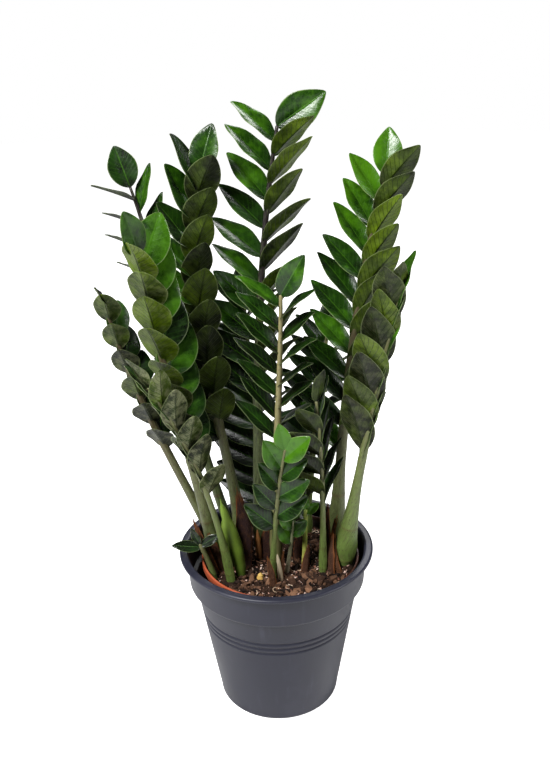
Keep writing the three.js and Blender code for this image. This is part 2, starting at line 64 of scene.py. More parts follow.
def buildMesh(name, points, faces, materials, faceMaterials=None, uvs=None, tones=None, smooth=True):
    # points in mm; uvs and tones are one entry for each point
    mesh = bpy.data.meshes.new(name)
    mesh.from_pydata([(p[0] * mm, p[1] * mm, p[2] * mm) for p in points], [], faces)
    for material in materials:
        mesh.materials.append(material)
    if faceMaterials:
        mesh.polygons.foreach_set("material_index", faceMaterials)
    mesh.polygons.foreach_set("use_smooth", [smooth] * len(faces))
    if uvs:
        grains = mesh.uv_layers.new(name="grain")
        corners = [0] * len(mesh.loops)
        mesh.loops.foreach_get("vertex_index", corners)
        grains.uv.foreach_set("vector", [value for corner in corners for value in uvs[corner]])
    for key, values in (tones or {}).items():
        mesh.attributes.new(key, "FLOAT", "POINT").data.foreach_set("value", values)
    mesh.validate()
    mesh.update()
    piece = bpy.data.objects.new(name, mesh)
    bpy.context.scene.collection.objects.link(piece)
    return piece


def bands(rings):
    # the faces between rings of points, where each ring ends at its first point again
    return [(low[i], low[i + 1], high[i + 1], high[i])
            for low, high in zip(rings, rings[1:]) for i in range(len(low) - 1)]


def capped(rings):
    # the same, with a face over the first ring and one over the last
    return bands(rings) + [tuple(rings[0][:-1][::-1]), tuple(rings[-1][:-1])]


def place(piece, slot, *nodes):
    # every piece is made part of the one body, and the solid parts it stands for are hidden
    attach(piece, "root")
    if nodes:
        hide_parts(*nodes)


def newMaterial(name, roughness=0.5, specular=0.5, coat=0.0, coatRoughness=0.2):
    material = bpy.data.materials.new(name)
    material.use_nodes = True
    shader = material.node_tree.nodes["Principled BSDF"]
    shader.inputs["Roughness"].default_value = roughness
    shader.inputs["Specular IOR Level"].default_value = specular
    shader.inputs["Coat Weight"].default_value = coat
    shader.inputs["Coat Roughness"].default_value = coatRoughness
    return material, material.node_tree, shader


def node(tree, kind, links=None, **settings):
    # a node with its settings, and with its inputs set or linked by name or number
    made = tree.nodes.new(kind)
    for key, value in settings.items():
        setattr(made, key, value)
    for key, value in (links or {}).items():
        if isinstance(value, bpy.types.NodeSocket):
            tree.links.new(value, made.inputs[key])
        else:
            made.inputs[key].default_value = value
    return made


def maths(tree, operation, *values):
    return node(tree, "ShaderNodeMath", dict(enumerate(values)), operation=operation).outputs[0]


def mixColours(tree, share, first, second):
    return node(tree, "ShaderNodeMix", {0: share, 6: first, 7: second}, data_type="RGBA").outputs[2]


def overlay(tree, mask, amount, below, above):
    # the colour above laid over the one below, where the mask is 1 and as strongly as amount
    return mixColours(tree, maths(tree, "MULTIPLY", mask, amount), below, above)


def ramp(tree, value, stops):
    # stops are (position, colour)
    made = node(tree, "ShaderNodeValToRGB", {0: value})
    elements = made.color_ramp.elements
    while len(elements) < len(stops):
        elements.new(0.5)
    for element, (position, colour) in zip(elements, stops):
        element.position = position
        element.color = colour
    return made.outputs[0]


def step(tree, value, low, high):
    # 0 below low, 1 above high, smooth between
    made = node(tree, "ShaderNodeMapRange", {0: value, 1: low, 2: high}, interpolation_type="SMOOTHSTEP")
    return made.outputs[0]


def fall(tree, value, low, high):
    # 1 below low, 0 above high, smooth between
    return maths(tree, "SUBTRACT", 1.0, step(tree, value, low, high))


def noiseOf(tree, scale, detail=3.0, roughness=0.55, vector=None, stretch=None):
    coordinate = vector or node(tree, "ShaderNodeTexCoord").outputs["Object"]
    if stretch:
        coordinate = node(tree, "ShaderNodeMapping", {0: coordinate, 3: stretch}).outputs[0]
    made = node(tree, "ShaderNodeTexNoise", {"Vector": coordinate, "Scale": scale, "Detail": detail,
                                              "Roughness": roughness})
    return made.outputs[0]


def dress(tree, shader, colour, roughness, relief, strength, depth):
    # gives the shader its colour, its roughness and a fine relief of this depth in metres
    made = node(tree, "ShaderNodeBump", {"Height": relief, "Strength": strength, "Distance": depth})
    for socket, value in (("Base Color", colour), ("Roughness", roughness), ("Normal", made.outputs[0])):
        tree.links.new(value, shader.inputs[socket])


def grain(tree):
    # along a piece and across it, as its own points give them
    return node(tree, "ShaderNodeUVMap", uv_map="grain").outputs[0]


def tone(tree, name):
    return node(tree, "ShaderNodeAttribute", attribute_name=name).outputs["Fac"]


camera = dict(place=(0.0035, -0.963, 0.820), lookDown=22.2, roll=1.4, lens=42.4)
light = dict(
    key=dict(place=(-1.2, -1.3, 2.3), size=0.8, power=100),
    side=dict(place=(1.9, -0.5, 1.6), size=0.8, power=26),
    back=dict(place=(0.4, 1.9, 2.0), size=1.2, power=24),
    surround=0.03, floorWhite=1.0)


def setCamera():
    data = bpy.data.cameras.new("camera")
    data.lens = camera["lens"]
    seen = bpy.data.objects.new("camera", data)
    bpy.context.scene.collection.objects.link(seen)
    down = math.radians(camera["lookDown"])
    forward = Vector((0, math.cos(down), -math.sin(down)))
    right = Vector((1, 0, 0))
    up = right.cross(forward)
    turn = math.radians(camera["roll"])
    across = right * math.cos(turn) - up * math.sin(turn)
    upward = right * math.sin(turn) + up * math.cos(turn)
    rows = [(across[i], upward[i], -forward[i], camera["place"][i]) for i in range(3)]
    seen.matrix_world = Matrix(rows + [(0, 0, 0, 1)])
    bpy.context.scene.camera = seen


def setLights():
    for name in ("key", "side", "back"):
        one = light[name]
        data = bpy.data.lights.new(name, "AREA")
        data.shape = "DISK"
        data.size = one["size"]
        data.energy = one["power"]
        lamp = bpy.data.objects.new(name, data)
        lamp.location = one["place"]
        lamp.rotation_mode = "QUATERNION"
        lamp.rotation_quaternion = (Vector((0, 0, 0.4)) - Vector(one["place"])).to_track_quat("-Z", "Y")
        bpy.context.scene.collection.objects.link(lamp)
    world = bpy.data.worlds.new("studio")
    world.use_nodes = True
    tree = world.node_tree
    backdrop = tree.nodes["Background"]
    backdrop.inputs[0].default_value = (1, 1, 1, 1)
    seen = node(tree, "ShaderNodeLightPath").outputs["Is Camera Ray"]
    strength = node(tree, "ShaderNodeMapRange", {0: seen, 3: light["surround"], 4: 1.0})
    tree.links.new(strength.outputs[0], backdrop.inputs["Strength"])
    bpy.context.scene.world = world
    bpy.context.scene.view_settings.view_transform = "Standard"


def makeFloor():
    bpy.ops.mesh.primitive_circle_add(vertices=64, radius=6, fill_type="NGON", location=(0, 0, -0.0005))
    floor = bpy.context.object
    floor.name = "floor"
    material, tree, shader = newMaterial("paleFloor", roughness=0.9, specular=0.1)
    spots = noiseOf(tree, 3.0)
    colour = ramp(tree, spots, [(0.3, (0.86, 0.86, 0.86, 1)), (0.7, (0.9, 0.9, 0.9, 1))])
    tree.links.new(colour, shader.inputs["Base Color"])
    shader.inputs["Emission Color"].default_value = (1, 1, 1, 1)
    # white to look at, without lighting the plant
    seen = node(tree, "ShaderNodeLightPath").outputs["Is Camera Ray"]
    tree.links.new(maths(tree, "MULTIPLY", seen, light["floorWhite"]), shader.inputs["Emission Strength"])
    floor.data.materials.append(material)


setCamera()
setLights()
makeFloor()
print("camera, light and floor")


# inner is the colour laid on each pot's inside wall below the height after it: on the outer pot painted
# shade, on the nursery pot soil stain and painted shade
outerPot = dict(
    height=210, rim=120, lip=5, collarTop=112, collarFoot=109.5, collarAt=165, bodyTop=102.5, base=75.5,
    grooves=(130.5, 123, 115.5), grooveDepth=1.3, wall=2.6, floor=4, segments=192,
    colour=tint(39, 40, 54), roughness=0.38,
    inner=tint(20, 19, 22), shadeAndStainFrom=206, soiled=0)
nurseryPot = dict(
    centre=(5, -1.5), foot=4.4, height=193.6, rim=98, lip=9, lipWidth=2.4, base=66, wall=1.8, floor=2.5,
    segments=160, colour=tint(170, 80, 48), roughness=0.5, inner=tint(34, 24, 19), shadeAndStainFrom=197,
    soiled=0.9)


def rounded(profile, turns=4):
    # profile of (radius, height, rounding), each corner turned into a short arc
    result = []
    for i, (radius, height, rounding) in enumerate(profile):
        corner = Vector((radius, height))
        if rounding <= 0 or i in (0, len(profile) - 1):
            result.append(corner)
            continue
        before = Vector(profile[i - 1][:2]) - corner
        after = Vector(profile[i + 1][:2]) - corner
        reach = min(rounding, before.length * 0.45, after.length * 0.45)
        start = corner + before.normalized() * reach
        end = corner + after.normalized() * reach
        for k in range(turns + 1):
            t = k / turns
            result.append(start * (1 - t) ** 2 + corner * 2 * t * (1 - t) + end * t * t)
    return result


def turned(name, profile, segments, centre, material):
    points, faces, rings, inside = [], [], [], []
    topAt = max(range(len(profile)), key=lambda i: profile[i][1])
    for number, (radius, height) in enumerate(profile):
        inside += [float(number > topAt)] * (1 if radius < 1e-6 else segments)
        if radius < 1e-6:
            rings.append([len(points)])
            points.append((centre[0], centre[1], height))
            continue
        rings.append(list(range(len(points), len(points) + segments)))
        for i in range(segments):
            angle = math.tau * i / segments
            x, y = centre[0] + radius * math.cos(angle), centre[1] + radius * math.sin(angle)
            points.append((x, y, height))
    for low, high in zip(rings, rings[1:]):
        for i in range(segments):
            j = (i + 1) % segments
            if len(low) == 1:
                faces.append((low[0], high[j], high[i]))
            elif len(high) == 1:
                faces.append((low[i], low[j], high[0]))
            else:
                faces.append((low[i], low[j], high[j], high[i]))
    return buildMesh(name, points, faces, [material], None, None, dict(inside=inside))


def plasticMaterial(name, look, speckle, dust):
    material, tree, shader = newMaterial(name, roughness=look["roughness"], specular=0.45)
    where = node(tree, "ShaderNodeTexCoord").outputs["Object"]
    height = node(tree, "ShaderNodeSeparateXYZ", {0: where}).outputs[2]
    cloudy = noiseOf(tree, 9, 5, 0.6)
    fine = noiseOf(tree, 900, 2, 0.5)
    streaks = noiseOf(tree, 14, 4, 0.6, stretch=(6, 6, 0.7))
    base = look["colour"]
    pale = [min(1, c * 1.35 + 0.01) for c in base[:3]] + [1]
    deep = [c * 0.82 for c in base[:3]] + [1]
    colour = ramp(tree, cloudy, [(0.3, deep), (0.55, base), (0.8, pale)])
    worn = [min(1, c * 2.2 + 0.03) for c in base[:3]] + [1]
    colour = overlay(tree, step(tree, streaks, 0.56, 0.8), dust, colour, worn)
    # the inside wall is darkened below that height, fading out over 5 mm: painted shade, with soil stain
    # too on the nursery pot
    level = maths(tree, "MULTIPLY_ADD", streaks, 0.008, maths(tree, "SUBTRACT", height, 0.004))
    line = look["shadeAndStainFrom"] * mm
    below = fall(tree, level, line - 5 * mm, line)
    colour = overlay(tree, below, tone(tree, "inside"), colour, look["inner"])
    if look["soiled"]:
        # soil colour laid over the lip at the back and the right: soil lying there, and painted shade on
        # that side
        slant = node(tree, "ShaderNodeVectorMath", {0: where, 1: (0.8, 1, 0)}, operation="DOT_PRODUCT")
        slant = maths(tree, "MULTIPLY_ADD", fine, 0.02, slant.outputs["Value"])
        soilAndShadeCover = maths(tree, "MULTIPLY", step(tree, slant, 0.005, 0.03), step(tree, height, 0.18, 0.19))
        colour = overlay(tree, soilAndShadeCover, look["soiled"], colour, look["inner"])
    rough = maths(tree, "MULTIPLY_ADD", cloudy, 0.2, look["roughness"] - 0.1)
    rough = maths(tree, "MULTIPLY_ADD", streaks, 0.08, rough)
    rings = maths(tree, "SINE", maths(tree, "MULTIPLY", height, 2600.0))
    relief = maths(tree, "MULTIPLY_ADD", rings, 0.12, maths(tree, "MULTIPLY", fine, speckle))
    dress(tree, shader, colour, rough, relief, 0.12, 0.0004)
    return material


def makeOuterPot():
    pot = outerPot

    def bodyAt(height):
        return mix(pot["base"], pot["bodyTop"], height / pot["collarAt"])

    profile = [(0, 1.2, 0), (58, 1.2, 0.5), (60, 0, 1), (bodyAt(3), 0, 4), (bodyAt(8), 8, 4)]
    for height in reversed(pot["grooves"]):
        bottom = bodyAt(height) - pot["grooveDepth"]
        profile += [(bodyAt(height - 2.4), height - 2.4, 1), (bottom, height - 0.5, 0.6),
                    (bottom, height + 0.5, 0.6), (bodyAt(height + 2.4), height + 2.4, 1)]
    lipFoot = pot["height"] - pot["lip"]
    profile += [
        (pot["bodyTop"], pot["collarAt"] - 0.2, 1.2), (pot["collarFoot"] - 1.6, pot["collarAt"], 1.2),
        (pot["collarFoot"], pot["collarAt"] + 2.2, 1.6), (pot["collarTop"], lipFoot, 1.2),
        (pot["rim"] - 1.2, lipFoot, 0.8), (pot["rim"], lipFoot + 1.2, 1.2),
        (pot["rim"], pot["height"] - 1.4, 1.2), (pot["rim"] - 2, pot["height"] - 0.1, 1.4),
        (pot["collarTop"] - 0.6, pot["height"], 1.2),
        (pot["collarTop"] - pot["wall"], pot["height"] - 2, 1.4),
        (pot["collarFoot"] - pot["wall"], pot["collarAt"] + 6, 1.5),
        (pot["bodyTop"] - pot["wall"] + 0.4, pot["collarAt"] + 3.4, 1.5),
        (bodyAt(4) - pot["wall"], pot["floor"] + 3, 3), (60, pot["floor"], 2), (0, pot["floor"], 0)]
    material = plasticMaterial("outerPotPlastic", pot, 0.5, 0.25)
    piece = turned("outerPot", rounded(profile), pot["segments"], (0, 0), material)
    place(piece, "outer_pot_plastic", "outer_pot")


def makeNurseryPot():
    pot = nurseryPot
    top = pot["foot"] + pot["height"]
    lipFoot = top - pot["lip"]
    wallTop = pot["rim"] - pot["lipWidth"]
    profile = [
        (0, pot["foot"], 0), (pot["base"], pot["foot"], 2), (wallTop - 0.4, lipFoot - 0.6, 0.5),
        (pot["rim"] - 0.2, lipFoot, 0.8), (pot["rim"], top - 0.6, 0.8), (pot["rim"] - 0.9, top, 0.7),
        (pot["rim"] - pot["lipWidth"], top, 0.8), (wallTop - pot["wall"], lipFoot - 1, 0.8),
        (pot["base"] - pot["wall"], pot["foot"] + pot["floor"], 1.5), (0, pot["foot"] + pot["floor"], 0)]
    material = plasticMaterial("nurseryPotPlastic", pot, 0.8, 0.5)
    piece = turned("nurseryPot", rounded(profile), pot["segments"], pot["centre"], material)
    place(piece, "nursery_pot_plastic", "nursery_pot")


makeOuterPot()
makeNurseryPot()
print("pots")


# The fronds, in mm and degrees.
# path: the stalk's curve from the soil to its tip; thick: radius at the soil, the swelling, under the
# leaflets and the tip; faces: compass angle of the upper side; start: where the leaflets begin;
# size: length of the lowest and the highest leaflet, and width over length of both; rows: spread low
# down, spread at the top, lift and roll of each row; crown: lean, turn, length and width over length
# of the last leaflet.
fronds = {
    "frond_right_front": dict(
        path=[[82, -8, 176], [97, -12, 300], [118, -28, 425], [137, -45, 540]],
        thick=[9, 14, 5.2, 2.2], swellAt=0.1, faces=130, leaflets=16, start=0.42, bend=0.1,
        size=[88, 66, 0.45, 0.5], rows=[[22, 18, 40, 25], [27, 18, 25, 32]], crown=[10, 20, 48, 0.5]),
    "frond_right_back": dict(
        path=[[76, 36, 176], [84, 39, 334], [94, 57, 495], [136, 75, 648]],
        thick=[9, 12, 6.5, 2.2], swellAt=0.08, faces=240, leaflets=23, start=0.3, bend=0.1,
        size=[80, 70, 0.38, 0.5], rows=[[50, 44, 12, 55], [30, 26, 12, 126]], crown=[-14, -20, 56, 0.62]),
    "frond_centre_tall": dict(
        path=[[-20, 40, 176], [-21, 43, 357], [-18, 68, 533], [13, 98, 702]],
        thick=[8, 9, 6, 2], swellAt=0.08, faces=250, leaflets=20, start=0.4, bend=0.1,
        size=[80, 70, 0.4, 0.5], rows=[[54, 48, 10, 55], [38, 35, 10, 104]], crown=[46, -10, 64, 0.6]),
    "frond_centre_front": dict(
        path=[[0, 2, 176], [-2, -1, 296], [10, -12, 419], [12, -25, 538]],
        thick=[6, 8, 4.4, 2], swellAt=0.1, faces=235, leaflets=14, start=0.5, bend=0.1,
        size=[72, 62, 0.36, 0.42], rows=[[50, 56, 10, 88], [40, 40, 10, 60]], crown=[30, 0, 58, 0.5]),
    "frond_centre_left": dict(
        path=[[-42, 22, 176], [-45, 28, 330], [-118, 46, 500], [-76, 60, 655]],
        thick=[8, 10, 6, 2.2], swellAt=0.08, faces=250, leaflets=20, start=0.352, bend=0.1,
        size=[74, 66, 0.55, 0.58], rows=[[46, 30, 35, 45], [32, 26, 35, 105]], crown=[0, 0, 56, 0.58]),
    "frond_left_large": dict(
        path=[[-74, 4, 176], [-90, 1, 310], [-128, -13, 455], [-138, -28, 588]],
        thick=[8, 10, 6.5, 2.2], swellAt=0.08, faces=-5, leaflets=17, start=0.371, bend=0.1,
        size=[62, 66, 0.74, 0.66], rows=[[26, 22, 15, 62], [40, 36, 45, 20]], crown=[-22, 50, 54, 0.55]),
    "frond_far_left": dict(
        path=[[-68, 24, 176], [-108, 22, 284], [-165, 19, 400], [-186, 15, 516]],
        thick=[6, 7.5, 5, 2], swellAt=0.08, faces=5, leaflets=12, start=0.48, bend=0.1,
        size=[46, 44, 0.82, 0.72], rows=[[26, 22, 15, 62], [40, 36, 45, 20]], crown=[-30, 0, 36, 0.45]),
    "frond_back_left": dict(
        path=[[-48, 46, 176], [-104, 54, 325], [-113, 81, 488], [-162, 110, 635]],
        thick=[6, 7, 4, 1.6], swellAt=0.08, faces=290, leaflets=8, start=0.76, bend=0.05,
        size=[60, 56, 0.45, 0.4], rows=[[52, 52, 15, 88], [34, 30, 15, 60]], crown=[0, 0, 52, 0.68]),
    "frond_back_centre": dict(
        path=[[-8, 62, 176], [-10, 70, 290], [-28, 80, 400], [-32, 88, 500]],
        thick=[7, 8, 5, 2], swellAt=0.08, faces=250, leaflets=22, start=0.16, bend=0.1,
        size=[74, 58, 0.5, 0.5], rows=[[62, 44, 15, 60], [58, 40, 15, 90]], crown=[0, 0, 50, 0.5]),
    "frond_back_right": dict(
        path=[[40, 58, 176], [46, 66, 290], [60, 78, 380], [70, 92, 455]],
        thick=[6, 7, 4.5, 2], swellAt=0.08, faces=250, leaflets=19, start=0.15, bend=0.1,
        size=[72, 56, 0.5, 0.5], rows=[[60, 42, 15, 60], [56, 38, 15, 90]], crown=[0, 0, 50, 0.5]),
    "frond_left_front_small": dict(
        path=[[-56, -32, 176], [-67, -36, 273], [-88, -56, 370], [-132, -75, 454]],
        thick=[5.2, 5.8, 3.4, 1.8], swellAt=0.1, faces=60, leaflets=11, start=0.45, bend=0.1,
        size=[60, 52, 0.55, 0.52], rows=[[28, 22, 25, 32], [28, 22, 25, 32]], crown=[-10, 20, 44, 0.5]),
    "frond_right_small": dict(
        path=[[57, -22, 176], [57, -24, 258], [58, -31, 338], [49, -40, 418]],
        thick=[4.8, 5.2, 3.2, 1.6], swellAt=0.1, faces=130, leaflets=11, start=0.42, bend=0.1,
        size=[60, 52, 0.5, 0.48], rows=[[42, 28, 25, 38], [42, 28, 25, 38]], crown=[0, 0, 44, 0.42]),
    "frond_bright_small": dict(
        path=[[-5, -32, 176], [-3, -34, 243], [3, -41, 309], [13, -50, 364]],
        thick=[4.5, 5, 3, 1.6], swellAt=0.1, faces=270, leaflets=9, start=0.4, bend=0.1,
        size=[48, 46, 0.52, 0.6], rows=[[44, 34, 20, 20], [44, 34, 20, 20]], crown=[0, 0, 42, 0.55]),
    "frond_young_small": dict(
        path=[[12, -17, 176], [16, -20, 205], [20, -24, 232], [21, -28, 258]],
        thick=[2.6, 3, 2, 1.2], swellAt=0.1, faces=270, leaflets=4, start=0.6, bend=0.05,
        size=[32, 32, 0.6, 0.6], rows=[[34, 26, 20, 20], [34, 26, 20, 20]], crown=[0, 0, 30, 0.6]),
    "frond_low_left": dict(
        path=[[-76, -28, 176], [-80, -28, 196], [-86, -29, 216], [-92, -30, 230]],
        thick=[3.4, 4, 3, 1.6], swellAt=0.2, faces=270, leaflets=3, start=0.9, bend=0.05,
        size=[34, 28, 0.4, 0.4], rows=[[60, 56, 10, 40], [80, 76, 10, 40]], crown=[0, 0, 24, 0.4]),
    "frond_sprout": dict(
        path=[[34, -13, 176], [35, -12, 205], [36, -10, 235], [37, -9, 262]],
        thick=[3.2, 3.6, 2.8, 2], swellAt=0.1, faces=270, leaflets=3, start=0.88, bend=0.05,
        size=[24, 22, 0.55, 0.55], rows=[[50, 40, 10, 20], [50, 40, 10, 20]], crown=[0, 0, 20, 0.5]),
}

# colour 0 is the darkest green and 1 the brightest, and fade is how much brighter the top leaflets are;
# the grey patch value is how much pale mottling and painted glare the leaflets get, and point draws their
# tips out
frondLooks = {
    "frond_right_front": dict(colour=0.42, bloom=0.16, stalk="light", point=1.0),
    "frond_right_back": dict(colour=0.66, stalk="olive", point=1.0),
    "frond_centre_tall": dict(colour=0.6, bloom=0.08, stalk="dark", point=1.0),
    "frond_centre_front": dict(colour=0.2, fade=0.7, stalk="beige", point=1.0),
    "frond_centre_left": dict(colour=0.46, stalk="olive", point=0.6),
    "frond_left_large": dict(colour=0.62, fade=0.6, bloom=0.3, stalk="olive", point=0.4),
    "frond_far_left": dict(colour=0.42, bloom=0.35, stalk="olive", point=0.4),
    "frond_back_left": dict(colour=0.3, stalk="dark", point=1.0),
    "frond_back_centre": dict(colour=0.2, stalk="light", point=1.0),
    "frond_back_right": dict(colour=0.2, stalk="light", point=1.0),
    "frond_left_front_small": dict(colour=0.3, bloom=0.65, stalk="light", point=0.7),
    "frond_right_small": dict(colour=0.35, stalk="light", point=0.8),
    "frond_bright_small": dict(colour=0.65, fade=0.9, stalk="light", point=0.8),
    "frond_young_small": dict(colour=0.9, stalk="grey", point=0.8),
    "frond_low_left": dict(colour=0.2, stalk="light", point=0.8),
    "frond_sprout": dict(colour=0.95, stalk="yellow", point=0.8),
}
plantedDepth = 9  # how far stalks, shoots and sheaths go on below the soil's top
sameTip = 0.4  # how near to a point of the solid a leaflet's tip has to be to be that leaflet
uneven = dict(lift=6, spread=5, roll=9, length=0.07)  # how much one leaflet may differ from the next
# how a leaflet may give way to its neighbours: added lift and spread, and a share of its length
stances = [
    (0, 0, 1), (10, 0, 1), (-10, 0, 1), (0, -12, 1), (0, 12, 1), (20, 0, 1), (-20, 0, 1),
    (12, -14, 0.9), (-12, -14, 0.9), (32, 0, 0.9), (-32, 0, 0.9), (0, -24, 0.8), (24, -20, 0.8),
    (-24, -20, 0.8), (45, -10, 0.75), (-45, -10, 0.75)]


def seeded(seed):
    # the same even numbers from 0 to 1 each time
    state = seed
    while True:
        state = (state * 16807) % 2147483647
        yield state / 2147483647


def curvePoint(path, t):
    points = [Vector(p) for p in path]
    while len(points) > 1:
        points = [a.lerp(b, t) for a, b in zip(points, points[1:])]
    return points[0]


def curveForward(path, t):
    low, high = max(0, t - 1e-4), min(1, t + 1e-4)
    return (curvePoint(path, high) - curvePoint(path, low)).normalized()


def stalkFrame(frond, share):
    forward = curveForward(frond["path"], share)
    turn = math.radians(frond["faces"])
    compass = Vector((math.cos(turn), math.sin(turn), 0))
    face = (compass - forward * compass.dot(forward)).normalized()
    return curvePoint(frond["path"], share), forward, face, forward.cross(face)


def stalkRadius(frond, share):
    foot, swell, neck, tip = frond["thick"]
    if share < frond["swellAt"]:
        return mix(foot, swell, math.sin(share / frond["swellAt"] * math.pi / 2))
    if share < frond["start"]:
        return mix(neck, swell, ((frond["start"] - share) / (frond["start"] - frond["swellAt"])) ** 2)
    return mix(neck, tip, (share - frond["start"]) / (1 - frond["start"]))


def leafletFrame(frond, index, stance):
    addedLift, addedSpread, shortening = stance
    share = index / (frond["leaflets"] - 1)
    origin, forward, face, side = stalkFrame(frond, mix(frond["start"], 1, share))
    atTip = index == frond["leaflets"] - 1
    second = index % 2 == 1 or atTip
    lowSpread, topSpread, rowLift, rowRoll = frond["rows"][1 if second else 0]
    lean, turn, tipLength, tipWidth = frond["crown"]
    lowLength, topLength, lowWidth, topWidth = frond["size"]
    own = frond["unevenness"][index]
    lift = math.radians((0 if atTip else rowLift) + addedLift + own["lift"])
    rowSpread = lean if atTip else mix(lowSpread, topSpread, share)
    spread = math.radians(rowSpread + addedSpread + own["spread"])
    roll = math.radians((turn if atTip else rowRoll) + own["roll"])
    row = 1 if second else -1
    out = side * (row * math.cos(lift)) + face * math.sin(lift)
    flat = face * math.cos(lift) - side * (row * math.sin(lift))
    along = forward * math.cos(spread) + out * math.sin(spread)
    tipward = forward * math.sin(spread) - out * math.cos(spread)
    upper = flat * math.cos(roll) + tipward * math.sin(roll)
    length = (tipLength if atTip else mix(lowLength, topLength, share)) * shortening * (1 + own["length"])
    width = length * (tipWidth if atTip else mix(lowWidth, topWidth, share))
    return dict(origin=origin, along=along, upper=upper, length=length, width=width, bend=frond["bend"],
                share=share)


def leafletsOf(name, frond):
    # the leaflets that the solid of this frond really has, each in the stance it took there
    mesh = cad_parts[name].data
    tree = KDTree(len(mesh.vertices))
    for i, vertex in enumerate(mesh.vertices):
        tree.insert(vertex.co, i)
    tree.balance()
    grown = []
    for index in range(frond["leaflets"]):
        for stance in stances:
            leaf = leafletFrame(frond, index, stance)
            tip = leaf["origin"] + (leaf["along"] - leaf["upper"] * leaf["bend"]) * leaf["length"]
            if tree.find(tip * mm)[2] < sameTip * mm:
                grown.append(leaf)
                break
    return grown


blade = dict(
    stations=(0.0, 0.03, 0.075, 0.13, 0.2, 0.28, 0.37, 0.46, 0.55, 0.64, 0.73, 0.81, 0.88, 0.935,
              0.975, 0.995),
    across=(-1, -0.94, -0.78, -0.55, -0.3, -0.1, 0, 0.1, 0.3, 0.55, 0.78, 0.94, 1),
    thickness=0.42, edge=0.2, midrib=0.55, wave=0.9, fold=0.52, dome=0.26)


def bladeHalf(share, point):
    # half the width along the blade; a higher point draws the tip out longer
    outline = math.sin(math.pi * clamp(share) ** 0.9) ** 0.62
    tipward = clamp((share - 0.55) / 0.45)
    return outline * (1 - 0.3 * point * tipward ** 1.5)


def addLeaflet(shape, leaf, look, chance):
    origin, along, upper = leaf["origin"], leaf["along"], leaf["upper"]
    across = upper.cross(along)
    length, half = leaf["length"], leaf["width"] / 2
    phase, waves, ripple = chance.random() * math.tau, mix(1.2, 2.4, chance.random()), blade["wave"]
    leafTone = chance.random()
    sides = len(blade["across"])
    rings = []

    def put(position, u, v):
        shape["points"].append(position)
        shape["uvs"].append((u, 0.5 + 0.5 * v))
        shape["tone"].append(leafTone)
        shape["rise"].append(leaf["share"])
        return len(shape["points"]) - 1

    start = put(origin - along * 1.0, 0, 0)
    for share in blade["stations"]:
        width = max(half * bladeHalf(share, look["point"]), 1.5 - 14 * share)
        centre = origin + along * (length * share) - upper * (leaf["bend"] * length * share ** 2)
        top, bottom = [], []
        for v in blade["across"]:
            crease = math.sqrt(v * v + 0.003) - 0.055
            rise = width * (blade["fold"] * crease - blade["dome"] * v * v)
            swing = waves * math.tau * share + phase + (0.9 if v > 0 else 0)
            rise += ripple * math.sin(swing) * abs(v) ** 3
            thick = mix(blade["thickness"], blade["edge"], abs(v))
            ridge = blade["midrib"] * math.exp(-(v / 0.09) ** 2) * (1 - share)
            base = centre + across * (width * v)
            top.append(put(base + upper * (rise + thick), share, v))
            bottom.append(put(base + upper * (rise - thick - ridge), share, v))
        rims = []
        for v in (1, -1):
            outer = centre + across * ((width + blade["edge"]) * v)
            end = -1 if v > 0 else 0
            middle = (shape["points"][top[end]] + shape["points"][bottom[end]]) / 2
            rims.append(put(outer + upper * (middle - centre).dot(upper), share, v))
        rings.append(top + [rims[0]] + bottom[::-1] + [rims[1]])
    end = put(origin + along * length - upper * (leaf["bend"] * length), 1, 0)
    around = len(rings[0])

    def skin(i):
        return 0 if i < sides - 1 else 1

    for i in range(around):
        j = (i + 1) % around
        shape["faces"].append((start, rings[0][j], rings[0][i]))
        shape["skins"].append(skin(i))
        for low, high in zip(rings, rings[1:]):
            shape["faces"].append((low[i], low[j], high[j], high[i]))
            shape["skins"].append(skin(i))
        shape["faces"].append((rings[-1][i], rings[-1][j], end))
        shape["skins"].append(skin(i))


def veins(tree, along, across, count, slant):
    # the side veins, from the midrib outwards and towards the tip
    run = maths(tree, "MULTIPLY_ADD", along, count, maths(tree, "MULTIPLY", across, -slant))
    wave = maths(tree, "PINGPONG", run, 0.5)
    return step(tree, wave, 0.36, 0.5)


